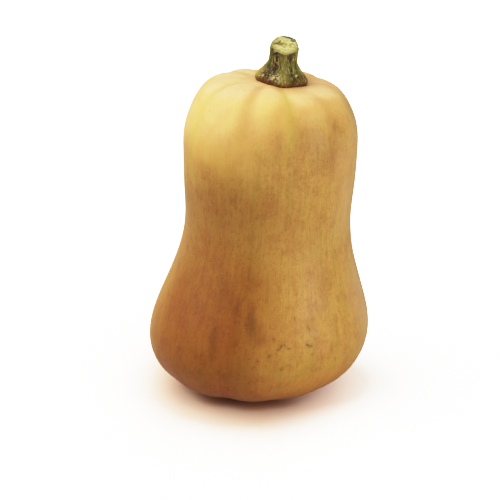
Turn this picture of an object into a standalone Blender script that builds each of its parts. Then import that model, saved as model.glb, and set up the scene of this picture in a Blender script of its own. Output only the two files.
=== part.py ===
"""A butternut squash as picked, standing on its blossom end: the fruit, and the dry stump of its stem.

Units are metres, +Z is up. The origin is on the ground under the middle of the squash's box, and the side
that faces -Y is called the front.
"""

import math

import bmesh
import bpy
import numpy as np
from mathutils import Vector

# The fruit's outline: radii about its own spine, and heights above the spot that it stands on.
REST_RADIUS = 0.023
BLOSSOM_DIMPLE_DEPTH = 0.0025
BELLY_RADIUS = 0.0767
BELLY_HEIGHT = 0.050
WAIST_RADIUS = 0.0577
WAIST_HEIGHT = 0.123
NECK_RADIUS = 0.0598
NECK_HEIGHT = 0.174
CROWN_RADIUS = 0.030
CROWN_HEIGHT = 0.2225

# The spine bends to the right on its way up, and the crown is a little higher on its left side.
SPINE_SHIFT = 0.0130
SPINE_BEND_HEIGHT = 0.224
CROWN_TILT = 0.046

# Ten shallow furrows run from the stem down the shoulders, and gather again at the blossom end. Each is an
# angle from the front, in degrees towards +X, and a share of the full depth.
FURROWS = (
    (-98.0, 0.5),
    (-61.0, 0.6),
    (-20.0, 1.0),
    (14.0, 0.7),
    (50.0, 0.6),
    (88.0, 0.5),
    (126.0, 0.9),
    (163.0, 0.7),
    (198.0, 1.0),
    (230.0, 0.7),
)
FURROW_WIDTH = math.radians(9.0)
FURROW_MEAN = 0.3
SHOULDER_FURROW_DEPTH = 0.0014
BODY_FURROW_DEPTH = 0.0003
BLOSSOM_FURROW_DEPTH = 0.0010

# The stem: a ridged stump, flared where it grips the crown and cut off on a slant that faces the front.
STEM_SHIFT = Vector((0.0072, 0.004))
STEM_HEIGHT = 0.0245
STEM_RADIUS = 0.0096
STEM_FOOT_RADIUS = 0.0172
STEM_LEAN = 0.004
STEM_CUT_SLANT = math.radians(25.0)
STEM_RIDGES = 5
FIRST_STEM_RIDGE = math.radians(10.0)
STEM_RIDGE_SHARE = 0.055
STEM_FOOT_RIDGE_SHARE = 0.10
STEM_HOLLOW_DEPTH = 0.0016

# The stem sits in a shallow seat with a hair's breadth between the two solids.
SEAT_RADIUS = 0.0260
SEAT_HEIGHT = 0.2212
SEAT_GAP = 0.0003

FRUIT_AROUND = 80
FRUIT_RINGS = 46
STEM_AROUND = 50
STEM_RINGS = 22


def smooth_curve(points, count):
    """Evenly spread points on the natural cubic spline that passes through the given ones."""
    points = np.array(points, dtype=float)
    chords = np.linalg.norm(np.diff(points, axis=0), axis=1)
    knots = np.concatenate(([0.0], np.cumsum(chords**0.7)))
    gaps = np.diff(knots)
    slopes = np.diff(points, axis=0) / gaps[:, None]
    balance = np.eye(len(points))
    load = np.zeros_like(points)
    for i in range(1, len(points) - 1):
        balance[i, i - 1 : i + 2] = gaps[i - 1], 2 * (gaps[i - 1] + gaps[i]), gaps[i]
        load[i] = 6 * (slopes[i] - slopes[i - 1])
    bends = np.linalg.solve(balance, load)

    def at(knot):
        i = min(np.searchsorted(knots, knot, side="right") - 1, len(gaps) - 1)
        before = knot - knots[i]
        after = knots[i + 1] - knot
        straight = (points[i] * after + points[i + 1] * before) / gaps[i]
        bend = bends[i] * (after + gaps[i]) + bends[i + 1] * (before + gaps[i])
        return straight - bend * before * after / (6 * gaps[i])

    fine = np.array([at(knot) for knot in np.linspace(0.0, knots[-1], 40 * count)])
    length = np.concatenate(([0.0], np.cumsum(np.linalg.norm(np.diff(fine, axis=0), axis=1))))
    even = np.linspace(0.0, length[-1], count)
    return np.column_stack([np.interp(even, length, fine[:, axis]) for axis in (0, 1)])


def turned_mesh(outline, around):
    """A closed mesh turned from an outline of (radius, height) points, top to bottom, and the ring of each vertex."""
    body = bmesh.new()
    rings = len(outline) - 1
    bmesh.ops.create_uvsphere(body, u_segments=around, v_segments=rings, radius=1.0)
    ring_of = []
    for vertex in body.verts:
        ring = round(math.acos(max(-1.0, min(1.0, vertex.co.z))) / math.pi * rings)
        radius, height = outline[ring]
        flat = vertex.co.xy.normalized() if 0 < ring < rings else Vector((0.0, 0.0))
        vertex.co = Vector((*(flat * radius), height))
        ring_of.append(ring)
    return body, ring_of


def step_up(value, start, end):
    """Rises smoothly from 0 to 1 as the value goes from start to end."""
    share = max(0.0, min(1.0, (value - start) / (end - start)))
    return share * share * (3 - 2 * share)


def spine_shift(height):
    """How far to the right the fruit's spine has moved at a height."""
    rest = 1 - height / SPINE_BEND_HEIGHT
    return SPINE_SHIFT * (1 - rest * rest)


def furrow_at(angle):
    """How far in an angle from the front lies: up to 1 in a furrow, and below 0 on the lobe between two."""
    depth = 0.0
    for degrees, share in FURROWS:
        off = math.remainder(angle - math.radians(degrees), math.tau)
        depth += share * math.exp(-((off / FURROW_WIDTH) ** 2))
    return depth - FURROW_MEAN


def furrow_depth(radius, height):
    """The depth of the furrows: most on the shoulders and round the blossom end, none under the stem."""
    shoulder = SHOULDER_FURROW_DEPTH * step_up(height, NECK_HEIGHT - 0.035, CROWN_HEIGHT - 0.015)
    blossom = BLOSSOM_FURROW_DEPTH * step_up(BELLY_HEIGHT - height, 0.0, BELLY_HEIGHT)
    return (shoulder + blossom + BODY_FURROW_DEPTH) * step_up(radius, 0.004, 0.022)


def fruit_outline():
    """The fruit's outline from the middle of the crown down to the middle of the blossom end."""
    return [
        (0.0, CROWN_HEIGHT - 0.0015),
        (0.5 * CROWN_RADIUS, CROWN_HEIGHT - 0.0007),
        (CROWN_RADIUS, CROWN_HEIGHT),
        (0.0460, CROWN_HEIGHT - 0.0060),
        (0.0530, CROWN_HEIGHT - 0.0150),
        (0.0591, NECK_HEIGHT + 0.0160),
        (NECK_RADIUS, NECK_HEIGHT),
        (WAIST_RADIUS + 0.0011, 0.5 * (NECK_HEIGHT + WAIST_HEIGHT)),
        (WAIST_RADIUS, WAIST_HEIGHT),
        (0.0643, WAIST_HEIGHT - 0.0330),
        (BELLY_RADIUS, BELLY_HEIGHT),
        (0.0745, BELLY_HEIGHT - 0.0210),
        (0.0610, 0.0120),
        (0.0390, 0.0030),
        (REST_RADIUS, 0.0),
        (0.72 * REST_RADIUS, -0.0010),
        (0.45 * REST_RADIUS, 0.0),
        (0.0, BLOSSOM_DIMPLE_DEPTH),
    ]


def make_fruit():
    """The fruit: a turned body, furrowed, bent along its spine, flattened where it rests and under the stem."""
    outline = smooth_curve(fruit_outline(), FRUIT_RINGS + 1)
    across = np.gradient(outline, axis=0)
    across /= np.linalg.norm(across, axis=1)[:, None]
    body, ring_of = turned_mesh(outline, FRUIT_AROUND)
    for vertex, ring in zip(body.verts, ring_of):
        radius, height = outline[ring]
        angle = math.atan2(vertex.co.x, -vertex.co.y)
        depth = furrow_depth(radius, height) * furrow_at(angle)
        outward = vertex.co.xy.normalized() if radius else Vector((0.0, 0.0))
        vertex.co.xy += outward * depth * across[ring][1]
        vertex.co.z -= depth * across[ring][0]
        top = step_up(height, NECK_HEIGHT, CROWN_HEIGHT)
        vertex.co.z -= CROWN_TILT * vertex.co.x * top
        vertex.co.x += spine_shift(height)
        vertex.co.z = max(vertex.co.z, 0.0)
        from_stem = (vertex.co.xy - stem_foot()).length
        if height > NECK_HEIGHT and from_stem < SEAT_RADIUS:
            vertex.co.z = min(vertex.co.z, SEAT_HEIGHT)
    return body


def stem_foot():
    """The middle of the stem's foot, seen from above."""
    return Vector((spine_shift(SEAT_HEIGHT), 0.0)) + STEM_SHIFT


def stem_outline():
    """The stem's outline about its own middle, from its cut end down and under its foot."""
    return [
        (0.0, STEM_HEIGHT),
        (0.5 * STEM_RADIUS, STEM_HEIGHT),
        (0.90 * STEM_RADIUS, STEM_HEIGHT),
        (STEM_RADIUS, STEM_HEIGHT - 0.0012),
        (STEM_RADIUS, 0.0165),
        (STEM_RADIUS + 0.0008, 0.0130),
        (STEM_RADIUS + 0.0034, 0.0092),
        (STEM_FOOT_RADIUS - 0.0012, 0.0055),
        (STEM_FOOT_RADIUS, 0.0025),
        (STEM_FOOT_RADIUS - 0.0014, 0.0),
        (0.5 * STEM_FOOT_RADIUS, 0.0),
        (0.0, 0.0),
    ]


def straight_curve(points, count):
    """Points spread along the straight runs between the given ones, which all stay in."""
    points = np.array(points, dtype=float)
    length = np.concatenate(([0.0], np.cumsum(np.linalg.norm(np.diff(points, axis=0), axis=1))))
    even = np.linspace(0.0, length[-1], count)
    for corner in length[1:-1]:
        even[1 + np.argmin(abs(even[1:-1] - corner))] = corner
    return np.column_stack([np.interp(even, length, points[:, axis]) for axis in (0, 1)])


def make_stem():
    """The stem: a turned stump with ridges that run out into the lobes of its foot."""
    outline = straight_curve(stem_outline(), STEM_RINGS + 1)
    body, ring_of = turned_mesh(outline, STEM_AROUND)
    foot = stem_foot()
    for vertex, ring in zip(body.verts, ring_of):
        radius, height = outline[ring]
        angle = math.atan2(vertex.co.x, -vertex.co.y)
        foot_share = 1 - step_up(height, 0.0, 0.6 * STEM_HEIGHT)
        share = STEM_RIDGE_SHARE + (STEM_FOOT_RIDGE_SHARE - STEM_RIDGE_SHARE) * foot_share
        vertex.co.xy *= 1 + share * math.cos(STEM_RIDGES * (angle - FIRST_STEM_RIDGE))
        up = height / STEM_HEIGHT
        if height == STEM_HEIGHT:
            vertex.co.z -= STEM_HOLLOW_DEPTH * (1 - radius / STEM_RADIUS)
        vertex.co.z += math.tan(STEM_CUT_SLANT) * vertex.co.y * up**2
        vertex.co.y -= STEM_LEAN * up**2
        vertex.co += Vector((foot.x, foot.y, SEAT_HEIGHT + SEAT_GAP))
    return body


def skin_material():
    material = bpy.data.materials.new("squash skin")
    material.use_nodes = True
    shader = material.node_tree.nodes["Principled BSDF"]
    shader.inputs["Base Color"].default_value = (0.66, 0.38, 0.13, 1.0)
    shader.inputs["Roughness"].default_value = 0.5
    shader.inputs["Metallic"].default_value = 0.0
    return material


def stem_material():
    material = bpy.data.materials.new("dry stem")
    material.use_nodes = True
    shader = material.node_tree.nodes["Principled BSDF"]
    shader.inputs["Base Color"].default_value = (0.17, 0.16, 0.055, 1.0)
    shader.inputs["Roughness"].default_value = 0.8
    shader.inputs["Metallic"].default_value = 0.0
    return material


def add_part(name, body, material, collection):
    mesh = bpy.data.meshes.new(name)
    body.to_mesh(mesh)
    body.free()
    mesh.materials.append(material)
    mesh.shade_smooth()
    part = bpy.data.objects.new(name, mesh)
    collection.objects.link(part)
    return part


def centre_over_origin(parts):
    """Moves the meshes together, so that the middle of their box is over the origin."""
    corners = np.array([vertex.co for part in parts for vertex in part.data.vertices])
    middle = (corners.min(axis=0) + corners.max(axis=0)) / 2
    for part in parts:
        for vertex in part.data.vertices:
            vertex.co.x -= middle[0]
            vertex.co.y -= middle[1]


for leftover in list(bpy.data.objects):
    bpy.data.objects.remove(leftover)
squash = bpy.data.collections.new("butternut squash")
bpy.context.scene.collection.children.link(squash)
fruit = add_part("squash_fruit", make_fruit(), skin_material(), squash)
stem = add_part("squash_stem", make_stem(), stem_material(), squash)
centre_over_origin([fruit, stem])
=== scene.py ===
import math

import bpy
import numpy as np
from mathutils import Matrix, Vector


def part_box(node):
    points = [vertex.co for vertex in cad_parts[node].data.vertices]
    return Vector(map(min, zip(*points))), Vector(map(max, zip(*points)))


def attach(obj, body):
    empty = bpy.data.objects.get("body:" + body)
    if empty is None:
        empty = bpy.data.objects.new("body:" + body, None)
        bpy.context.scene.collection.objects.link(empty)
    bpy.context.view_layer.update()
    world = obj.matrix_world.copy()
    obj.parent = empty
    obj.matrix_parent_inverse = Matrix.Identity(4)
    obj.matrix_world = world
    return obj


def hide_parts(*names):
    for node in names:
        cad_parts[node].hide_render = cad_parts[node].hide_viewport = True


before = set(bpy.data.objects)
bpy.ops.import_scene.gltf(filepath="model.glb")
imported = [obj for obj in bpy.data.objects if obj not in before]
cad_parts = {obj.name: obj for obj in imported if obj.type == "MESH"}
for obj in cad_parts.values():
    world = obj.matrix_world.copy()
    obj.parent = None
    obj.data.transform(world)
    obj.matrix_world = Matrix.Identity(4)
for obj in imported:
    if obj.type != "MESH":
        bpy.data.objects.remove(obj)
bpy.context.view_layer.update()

# The fruit grew as one piece: a stout neck over a fuller bulb, in a thin waxy rind. Ten shallow furrows run
# from the stem over the shoulders, fade along the neck and gather again at the blossom end it stands on.
# Angles are from the front (-Y) towards the right (+X), and heights from the ground.
REST_RADIUS = 0.023
BLOSSOM_DIMPLE_DEPTH = 0.0025
BELLY_RADIUS = 0.0767
BELLY_HEIGHT = 0.050
WAIST_RADIUS = 0.0577
WAIST_HEIGHT = 0.123
NECK_RADIUS = 0.0598
NECK_HEIGHT = 0.174
CROWN_RADIUS = 0.030
CROWN_HEIGHT = 0.2225
SPINE_SHIFT = 0.0130
SPINE_BEND_HEIGHT = 0.224
CROWN_TILT = 0.046
FURROWS = (
    (-98.0, 0.5),
    (-61.0, 0.6),
    (-20.0, 1.0),
    (14.0, 0.7),
    (50.0, 0.35),
    (88.0, 0.5),
    (126.0, 0.9),
    (163.0, 0.7),
    (198.0, 1.0),
    (230.0, 0.7),
)
STEM_SHIFT = Vector((0.0062, 0.0016))
STEM_TILT = math.radians(5.5)
STEM_SEAT_HEIGHT = 0.2200
STEM_SEAT_RISE = 0.0014
STEM_SEAT_EDGE = (0.014, 0.030)
STEM_SEAT_REACH = 0.02
FURROW_WIDTH = 9.0
FURROW_MEAN = 0.3
FURROW_END_RADII = (0.004, 0.022)
SHOULDER_FURROW_HEIGHTS = (NECK_HEIGHT - 0.035, CROWN_HEIGHT - 0.015)
FRUIT_AROUND = 264
FRUIT_RINGS = 210


def smooth_curve(points, count):
    """Evenly spread points on the natural cubic spline through some, and their distances along it."""
    points = np.array(points, dtype=float)
    chords = np.linalg.norm(np.diff(points, axis=0), axis=1)
    knots = np.concatenate(([0.0], np.cumsum(chords**0.7)))
    gaps = np.diff(knots)
    slopes = np.diff(points, axis=0) / gaps[:, None]
    balance = np.eye(len(points))
    load = np.zeros_like(points)
    for i in range(1, len(points) - 1):
        balance[i, i - 1 : i + 2] = gaps[i - 1], 2 * (gaps[i - 1] + gaps[i]), gaps[i]
        load[i] = 6 * (slopes[i] - slopes[i - 1])
    bends = np.linalg.solve(balance, load)
    at = np.linspace(0.0, knots[-1], 40 * count)
    i = np.clip(np.searchsorted(knots, at, side="right") - 1, 0, len(gaps) - 1)
    before = (at - knots[i])[:, None]
    after = (knots[i + 1] - at)[:, None]
    gap = gaps[i][:, None]
    straight = (points[i] * after + points[i + 1] * before) / gap
    bend = bends[i] * (after + gap) + bends[i + 1] * (before + gap)
    fine = straight - bend * before * after / (6 * gap)
    length = np.concatenate(([0.0], np.cumsum(np.linalg.norm(np.diff(fine, axis=0), axis=1))))
    even = np.linspace(0.0, length[-1], count)
    return np.column_stack([np.interp(even, length, fine[:, axis]) for axis in (0, 1)]), even


def turned_piece(name, outline, way, around):
    """A closed mesh turned from an outline of (radius, height) that runs from its top to its bottom.

    Each point keeps its way: its bearing about the spine, as a point on a circle, and its distance along
    the outline, so that a pattern can follow the skin without a seam.
    """
    rings = len(outline)
    turn = np.arange(around) * math.tau / around
    bearing = np.column_stack([np.sin(turn), -np.cos(turn)])
    points = [(0.0, 0.0, outline[0][1])]
    ways = [(0.0, 0.0, way[0])]
    for (radius, height), along in zip(outline[1:-1], way[1:-1]):
        points += [(radius * x, radius * y, height) for x, y in bearing]
        ways += [(x, y, along) for x, y in bearing]
    points.append((0.0, 0.0, outline[-1][1]))
    ways.append((0.0, 0.0, way[-1]))
    last = len(points) - 1
    faces = []
    for i in range(around):
        j = (i + 1) % around
        faces.append((0, 1 + i, 1 + j))
        for ring in range(rings - 3):
            upper = 1 + ring * around
            lower = upper + around
            faces.append((upper + i, lower + i, lower + j, upper + j))
        lowest = 1 + (rings - 3) * around
        faces.append((last, lowest + j, lowest + i))
    mesh = bpy.data.meshes.new(name)
    mesh.from_pydata(points, [], faces)
    mesh.shade_smooth()
    attribute = mesh.attributes.new("way", "FLOAT_VECTOR", "POINT")
    attribute.data.foreach_set("vector", np.array(ways, dtype=np.float32).ravel())
    piece = bpy.data.objects.new(name, mesh)
    bpy.context.scene.collection.objects.link(piece)
    return piece


def keep_value(piece, name, values):
    """Stores one number for each point of the piece."""
    attribute = piece.data.attributes.new(name, "FLOAT", "POINT")
    attribute.data.foreach_set("value", np.array(values, dtype=np.float32))


def points_of(piece):
    points = np.empty(3 * len(piece.data.vertices))
    piece.data.vertices.foreach_get("co", points)
    return points.reshape(-1, 3)


def step_up(value, start, end):
    """Rises smoothly from 0 to 1 as the value goes from start to end."""
    share = np.clip((value - start) / (end - start), 0.0, 1.0)
    return share * share * (3 - 2 * share)


def spine_shift(height):
    """How far to the right the fruit's spine has moved at a height."""
    rest = 1 - height / SPINE_BEND_HEIGHT
    return SPINE_SHIFT * (1 - rest * rest)


def furrow_at(degrees):
    """How far in a bearing lies: up to 1 in a furrow, and below 0 on the lobe between two."""
    depth = -FURROW_MEAN * np.ones_like(degrees)
    for middle, share in FURROWS:
        off = (degrees - middle + 180.0) % 360.0 - 180.0
        depth += share * np.exp(-((off / FURROW_WIDTH) ** 2))
    return depth


def put(tree, kind, feeds=None, **settings):
    """Adds a node with its settings, and feeds its inputs with plain values or other nodes' outputs."""
    node = tree.nodes.new(kind)
    for name, value in settings.items():
        setattr(node, name, value)
    for name, feed in (feeds or {}).items():
        if isinstance(feed, bpy.types.NodeSocket):
            tree.links.new(feed, node.inputs[name])
        else:
            node.inputs[name].default_value = feed
    return node


def reckon(tree, operation, *terms, clamp=False):
    """Plain arithmetic on values or on other nodes' outputs."""
    feeds = dict(enumerate(terms))
    return put(tree, "ShaderNodeMath", feeds, operation=operation, use_clamp=clamp).outputs[0]


def both(tree, first, second):
    """Where one mask and another both say so."""
    return reckon(tree, "MULTIPLY", first, second)


def ease(tree, value, start, end, low=0.0, high=1.0):
    """A smooth step from low to high as the value goes from start to end."""
    feeds = {"Value": value, "From Min": start, "From Max": end, "To Min": low, "To Max": high}
    return put(tree, "ShaderNodeMapRange", feeds, interpolation_type="SMOOTHSTEP").outputs["Result"]


def vector_of(tree, x=0.0, y=0.0, z=0.0):
    return put(tree, "ShaderNodeCombineXYZ", {"X": x, "Y": y, "Z": z}).outputs[0]


def parts_of(tree, vector):
    """A vector's own X, Y and Z."""
    return put(tree, "ShaderNodeSeparateXYZ", {0: vector}).outputs


def vectors(tree, operation, *terms, output=0):
    """Arithmetic on vectors."""
    feeds = dict(enumerate(terms))
    return put(tree, "ShaderNodeVectorMath", feeds, operation=operation).outputs[output]


def scaled(tree, vector, scale):
    return put(tree, "ShaderNodeVectorMath", {0: vector, "Scale": scale}, operation="SCALE").outputs[0]


def cloudy(tree, place, scale, detail, output=0):
    """Soft noise from 0 to 1, with about so many clouds a metre."""
    feeds = {"Vector": place, "Scale": scale, "Detail": detail}
    return put(tree, "ShaderNodeTexNoise", feeds).outputs[output]


def about_zero(tree, noise):
    return reckon(tree, "SUBTRACT", noise, 0.5)


def stored(tree, name, kind="FLOAT"):
    """What the mesh keeps for each point, as a rule for shapes reads it."""
    return put(tree, "GeometryNodeInputNamedAttribute", {"Name": name}, data_type=kind).outputs[0]


def painted(tree, name, output="Fac"):
    """What the mesh keeps for each point, as a material reads it."""
    return put(tree, "ShaderNodeAttribute", attribute_name=name).outputs[output]


def input_socket(tree, name, kind="NodeSocketFloat", value=None):
    socket = tree.interface.new_socket(name, in_out="INPUT", socket_type=kind)
    if value is not None:
        socket.default_value = value


def set_input(modifier, name, value):
    """Sets a modifier's input by its socket's identifier."""
    for item in modifier.node_group.interface.items_tree:
        if item.item_type == "SOCKET" and item.in_out == "INPUT" and item.name == name:
            modifier[item.identifier] = value


def shape_tree(name, **sizes):
    """A new rule for a shape, whose sizes and material are named inputs."""
    tree = bpy.data.node_groups.new(name, "GeometryNodeTree")
    input_socket(tree, "Geometry", "NodeSocketGeometry")
    for title, size in sizes.items():
        input_socket(tree, title.replace("_", " "), value=size)
    input_socket(tree, "Material", "NodeSocketMaterial")
    tree.interface.new_socket("Geometry", in_out="OUTPUT", socket_type="NodeSocketGeometry")
    return tree, put(tree, "NodeGroupInput").outputs


def finish_shape(tree, shape, material):
    """Ends a rule: what it made is realized and dressed in its material."""
    real = put(tree, "GeometryNodeRealizeInstances", {"Geometry": shape}).outputs[0]
    dressed = put(tree, "GeometryNodeSetMaterial", {"Geometry": real, "Material": material}).outputs[0]
    put(tree, "NodeGroupOutput", {"Geometry": dressed})


def grow_tree():
    """The rule that gives the turned fruit its furrows, uneven growth, leaning spine and flat foot."""
    tree, given = shape_tree(
        "grow squash",
        Shoulder_Furrow_Depth=0.0014,
        Body_Furrow_Depth=0.0003,
        Blossom_Furrow_Depth=0.0010,
        Unevenness=0.0005,
        Unevenness_Size=0.045,
        Rind_Ripple=0.00010,
    )
    position = put(tree, "GeometryNodeInputPosition").outputs[0]
    normal = put(tree, "GeometryNodeInputNormal").outputs[0]
    place = parts_of(tree, position)
    furrow = stored(tree, "furrow")
    way = stored(tree, "way", "FLOAT_VECTOR")
    radius = vectors(tree, "LENGTH", vector_of(tree, place["X"], place["Y"]), output="Value")

    shoulder = ease(tree, place["Z"], *SHOULDER_FURROW_HEIGHTS)
    blossom = ease(tree, place["Z"], BELLY_HEIGHT, 0.0)
    depth = given["Body Furrow Depth"]
    depth = reckon(tree, "MULTIPLY_ADD", shoulder, given["Shoulder Furrow Depth"], depth)
    depth = reckon(tree, "MULTIPLY_ADD", blossom, given["Blossom Furrow Depth"], depth)
    depth = reckon(tree, "MULTIPLY", depth, ease(tree, radius, *FURROW_END_RADII))
    sunk = reckon(tree, "MULTIPLY", depth, furrow)

    size = reckon(tree, "DIVIDE", 1.0, given["Unevenness Size"])
    swell = about_zero(tree, cloudy(tree, position, size, 1.0))
    stretched = vectors(tree, "MULTIPLY", way, RIPPLE_PULL)
    ripple = about_zero(tree, cloudy(tree, stretched, 1.0, 2.0))
    out = reckon(tree, "MULTIPLY", swell, given["Unevenness"])
    out = reckon(tree, "MULTIPLY_ADD", ripple, given["Rind Ripple"], out)
    out = reckon(tree, "MULTIPLY", out, 2.0)
    out = reckon(tree, "SUBTRACT", out, sunk)
    moved = {"Geometry": given["Geometry"], "Offset": scaled(tree, normal, out)}
    grown = put(tree, "GeometryNodeSetPosition", moved).outputs[0]

    here = parts_of(tree, position)
    rest = reckon(tree, "SUBTRACT", 1.0, reckon(tree, "DIVIDE", here["Z"], SPINE_BEND_HEIGHT))
    bent = reckon(tree, "SUBTRACT", 1.0, reckon(tree, "MULTIPLY", rest, rest))
    right = reckon(tree, "ADD", here["X"], reckon(tree, "MULTIPLY", bent, SPINE_SHIFT))
    tilt = reckon(tree, "MULTIPLY", ease(tree, here["Z"], NECK_HEIGHT, CROWN_HEIGHT), CROWN_TILT)
    height = reckon(tree, "SUBTRACT", here["Z"], reckon(tree, "MULTIPLY", tilt, here["X"]))
    height = reckon(tree, "MAXIMUM", height, 0.0)
    stood = {"Geometry": grown, "Position": vector_of(tree, right, here["Y"], height)}
    leaned = put(tree, "GeometryNodeSetPosition", stood).outputs[0]
    finish_shape(tree, leaned, given["Material"])
    return tree


def made_by(piece, tree, **values):
    """Runs a tree on a piece and keeps the result as its plain mesh."""
    modifier = piece.modifiers.new(tree.name, "NODES")
    modifier.node_group = tree
    for name, value in values.items():
        set_input(modifier, name.replace("_", " "), value)
    evaluated = piece.evaluated_get(bpy.context.evaluated_depsgraph_get())
    mesh = bpy.data.meshes.new_from_object(evaluated)
    piece.modifiers.remove(modifier)
    piece.data = mesh


def mask_group(name, vectors_in=(), **values):
    """A new effect for materials, with named inputs, that puts out a mask."""
    tree = bpy.data.node_groups.new(name, "ShaderNodeTree")
    for title in vectors_in:
        input_socket(tree, title, "NodeSocketVector")
    for title, value in values.items():
        input_socket(tree, title.replace("_", " "), value=value)
    tree.interface.new_socket("Mask", in_out="OUTPUT", socket_type="NodeSocketFloat")
    return tree, put(tree, "NodeGroupInput").outputs


def streak_group():
    """Streaks that run along the skin from stem to blossom, as long grown fibres do."""
    tree, given = mask_group("lengthwise streaks", Across=26.0, Along=20.0, Detail=3.0, Low=0.4, High=0.7)
    pull = vector_of(tree, given["Across"], given["Across"], given["Along"])
    stretched = vectors(tree, "MULTIPLY", painted(tree, "way", "Vector"), pull)
    noise = cloudy(tree, stretched, 1.0, given["Detail"])
    put(tree, "NodeGroupOutput", {"Mask": ease(tree, noise, given["Low"], given["High"])})
    return tree


def meridian_group():
    """A line down one bearing, that wanders a little: strongest at its start, gone at its end."""
    tree, given = mask_group("meridian line", Bearing=0.0, Half_Width=2.0, Wander=2.0, Start=0.02, End=0.10)
    way = painted(tree, "way", "Vector")
    place = parts_of(tree, way)
    toward = reckon(tree, "ARCTAN2", place["X"], reckon(tree, "MULTIPLY", place["Y"], -1.0))
    degrees = reckon(tree, "MULTIPLY", toward, 180.0 / math.pi)
    sway = about_zero(tree, cloudy(tree, vectors(tree, "MULTIPLY", way, SWAY_PULL), 1.0, 2.0))
    sway = reckon(tree, "MULTIPLY", sway, given["Wander"])
    off = reckon(tree, "SUBTRACT", reckon(tree, "ADD", degrees, sway), given["Bearing"])
    off = reckon(tree, "ABSOLUTE", reckon(tree, "WRAP", off, -180.0, 180.0))
    share = reckon(tree, "DIVIDE", off, given["Half Width"])
    fall = reckon(tree, "MULTIPLY", reckon(tree, "MULTIPLY", share, share), -1.0)
    line = reckon(tree, "POWER", 2.718, fall)
    started = both(tree, ease(tree, place["Z"], 0.0, given["Start"]), line)
    mask = both(tree, started, ease(tree, place["Z"], given["End"], given["Start"]))
    put(tree, "NodeGroupOutput", {"Mask": mask})
    return tree


def speck_group():
    """Soft specks as wide in every direction, such as the freckles of a rind or the crumbs of cork."""
    tree, given = mask_group("fine specks", Scale=400.0, Detail=2.0, Low=0.5, High=0.7)
    place = put(tree, "ShaderNodeTexCoord").outputs["Object"]
    noise = cloudy(tree, place, given["Scale"], given["Detail"])
    put(tree, "NodeGroupOutput", {"Mask": ease(tree, noise, given["Low"], given["High"])})
    return tree


def mark_group():
    """One scar, bruise or patch: a soft short stroke about a middle, as seen from a place near it."""
    tree, given = mask_group("skin mark", ("Place", "Middle", "Run"), Half_Width=0.001)
    off = vectors(tree, "SUBTRACT", given["Place"], given["Middle"])
    along = vectors(tree, "DOT_PRODUCT", off, given["Run"], output="Value")
    span = vectors(tree, "DOT_PRODUCT", given["Run"], given["Run"], output="Value")
    share = reckon(tree, "MINIMUM", reckon(tree, "DIVIDE", along, span), 1.0)
    share = reckon(tree, "MAXIMUM", share, -1.0)
    nearest = scaled(tree, given["Run"], share)
    distance = vectors(tree, "LENGTH", vectors(tree, "SUBTRACT", off, nearest), output="Value")
    distance = reckon(tree, "DIVIDE", distance, given["Half Width"])
    put(tree, "NodeGroupOutput", {"Mask": ease(tree, distance, 1.0, 0.1)})
    return tree


RIPPLE_PULL = (26.0, 26.0, 60.0)
SWAY_PULL = (2.0, 2.0, 22.0)
STREAKS = streak_group()
MERIDIAN = meridian_group()
SPECKS = speck_group()
MARK = mark_group()


def streaks(tree, across, along, low, high, detail=3.0):
    feeds = {"Across": across, "Along": along, "Low": low, "High": high, "Detail": detail}
    return put(tree, "ShaderNodeGroup", feeds, node_tree=STREAKS).outputs[0]


def meridian(tree, bearing, half_width, wander, start, end):
    feeds = {"Bearing": bearing, "Half Width": half_width, "Wander": wander, "Start": start, "End": end}
    return put(tree, "ShaderNodeGroup", feeds, node_tree=MERIDIAN).outputs[0]


def specks(tree, scale, low, high, detail=2.0):
    feeds = {"Scale": scale, "Low": low, "High": high, "Detail": detail}
    return put(tree, "ShaderNodeGroup", feeds, node_tree=SPECKS).outputs[0]


def shaken(tree, amount):
    """The place on the skin, shaken a little this way and that, which makes the edges of marks ragged."""
    place = put(tree, "ShaderNodeTexCoord").outputs["Object"]
    noise = cloudy(tree, place, SHAKE_SCALE, 2.0, "Color")
    centred = vectors(tree, "SUBTRACT", noise, (0.5, 0.5, 0.5))
    return vectors(tree, "ADD", place, scaled(tree, centred, amount))


def mark(tree, place, middle, run, half_width):
    feeds = {"Place": place, "Middle": middle, "Run": run, "Half Width": half_width}
    return put(tree, "ShaderNodeGroup", feeds, node_tree=MARK).outputs[0]


def screen_colour(red, green, blue):
    """A colour as a screen shows it, from 0 to 255 a channel, turned into the linear one for shaders."""
    shares = [value / 255.0 for value in (red, green, blue)]
    linear = [share / 12.92 if share <= 0.04045 else ((share + 0.055) / 1.055) ** 2.4 for share in shares]
    return (*linear, 1.0)


def blend_in(tree, under, over, mask, strength=1.0, way="MIX"):
    """Lays one colour over another where the mask says."""
    share = reckon(tree, "MULTIPLY", mask, strength, clamp=True)
    feeds = {0: share, 6: under, 7: over}
    return put(tree, "ShaderNodeMix", feeds, data_type="RGBA", blend_type=way).outputs[2]


CROWN_CREAM = screen_colour(254, 223, 174)
CROWN_BUTTER = screen_colour(251, 213, 136)
NECK_TAN = screen_colour(204, 163, 86)
BULB_TAN = screen_colour(206, 162, 80)
BASE_ORANGE = screen_colour(214, 136, 60)
BASE_RED = screen_colour(188, 92, 36)
FURROW_SHADE_TAN = screen_colour(214, 168, 92)
LOBE_HIGHLIGHT_BUTTER = screen_colour(250, 214, 140)
SHOULDER_PEACH = screen_colour(232, 170, 104)
ROSY = screen_colour(186, 122, 76)
OLIVE = screen_colour(178, 152, 62)
FIBRE_BROWN = screen_colour(150, 100, 46)
FIBRE_PALE = screen_colour(228, 190, 112)
CLOUD_TAN = screen_colour(196, 132, 78)
FLECK_PALE = screen_colour(232, 188, 118)
FRECKLE_TINT = (0.84, 0.74, 0.62, 1.0)
STEM_RING_STAIN_AND_SHADE = screen_colour(224, 166, 92)
TOE_PRINT_SHADE = screen_colour(206, 152, 64)
GROOVE_SHADE_TAN = screen_colour(206, 154, 80)
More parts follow.
